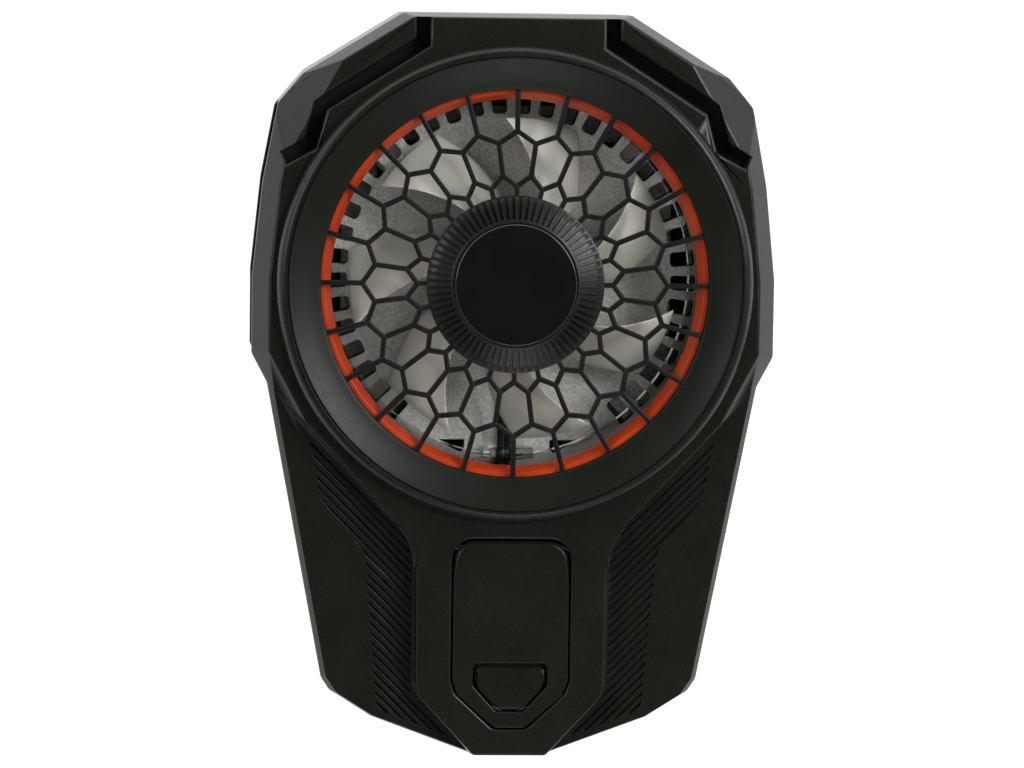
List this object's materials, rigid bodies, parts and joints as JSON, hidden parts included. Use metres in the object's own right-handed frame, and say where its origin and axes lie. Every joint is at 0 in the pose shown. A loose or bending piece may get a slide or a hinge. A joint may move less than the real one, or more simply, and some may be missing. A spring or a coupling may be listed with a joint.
{
  "type": "phone cooling fan",
  "caption": "Clip-on thermoelectric phone cooler: dark angular housing with a round fan grille over a slotted heat sink, sprung jaws behind it and a fold-out stand leg.",
  "frame": {"origin": "on the fan axis, in the plane of the contact pad, where the back of the phone lies", "axes": "+Z out of the grille, along the fan axis; +Y towards the fixed upper jaw; +X to the right, seen from the front"},
  "size_m": [0.0648, 0.0911, 0.0404],
  "materials": {
    "body": "satin greenish black, fine moulded grain",
    "bezel": "satin dark grey",
    "accent": "orange, semi-gloss",
    "grille": "black, satin",
    "hub_gloss": "polished black",
    "clear": "clear, polished",
    "blade": "cream grey, satin",
    "aluminium": "blasted",
    "steel": "bright",
    "screw": "blackened",
    "magnet": "matt",
    "bronze": "sintered",
    "copper": "enamelled wire",
    "board": "solder mask",
    "lead": "insulated wire",
    "ceramic": "unglazed alumina",
    "pellet": "semiconductor",
    "foam": "closed-cell foam",
    "thermal_pad": "grey silicone",
    "jaw_pad": "soft grey-black silicone",
    "slider": "natural nylon"
  },
  "bodies": {
    "housing": {"front_shell": "body", "rear_shell": "body", "bezel_ring": "bezel", "accent_ring": "accent", "grille": "grille", "hub_ring": "grille", "hub_disc": "hub_gloss", "fan_shroud": "clear", "bearing_bush": "bronze", "stator_core": "steel", "stator_coils": "copper", "fan_pcb": "board", "fan_leads": "lead", "heatsink": "aluminium", "heatsink_screws": "screw", "thermal_sheet": "thermal_pad", "tec_hot_plate": "ceramic", "tec_pellets": "pellet", "tec_cold_plate": "ceramic", "tec_leads": "lead", "insulation_frame": "foam", "cold_plate": "aluminium", "contact_pad": "thermal_pad", "main_pcb": "board", "pcb_screws": "screw", "usb_port": "steel", "case_screws": "screw", "upper_jaw": "body", "upper_jaw_pad": "jaw_pad", "upper_jaw_screws": "screw", "guide_rods": "steel", "clamp_springs": "steel", "stand_pin": "steel"},
    "rotor": {"impeller": "blade", "rotor_yoke": "steel", "magnet_ring": "magnet", "fan_shaft": "steel", "shaft_clip": "steel"},
    "lower_clamp": {"lower_jaw": "body", "lower_jaw_pad": "jaw_pad", "slider": "slider", "slider_screws": "screw"},
    "stand": {"stand_leg": "body", "stand_back_plate": "steel", "latch_spring": "steel"},
    "latch": {"latch_tab": "body"}
  },
  "joints": [
    {"name": "fan_spin", "type": "hinge", "parent": "housing", "child": "rotor", "pos_m": [0, 0, 0.0197], "axis": [0, 0, 1], "continuous": true},
    {"name": "clamp_slide", "type": "slide", "parent": "housing", "child": "lower_clamp", "axis": [0, -1, 0], "range_m": [0, 0.018], "stiffness_N_per_m": 300, "springref_m": -0.006, "deforming": ["clamp_springs"]},
    {"name": "stand_hinge", "type": "hinge", "parent": "housing", "child": "stand", "pos_m": [0, -0.0323, 0.0266], "axis": [-1, 0, 0], "range_deg": [0, 65]},
    {"name": "latch_press", "type": "slide", "parent": "stand", "child": "latch", "axis": [0, 0, -1], "range_m": [0, 0.00045], "stiffness_N_per_m": 800, "springref_m": -0.0005, "deforming": ["latch_spring"]}
  ]
}
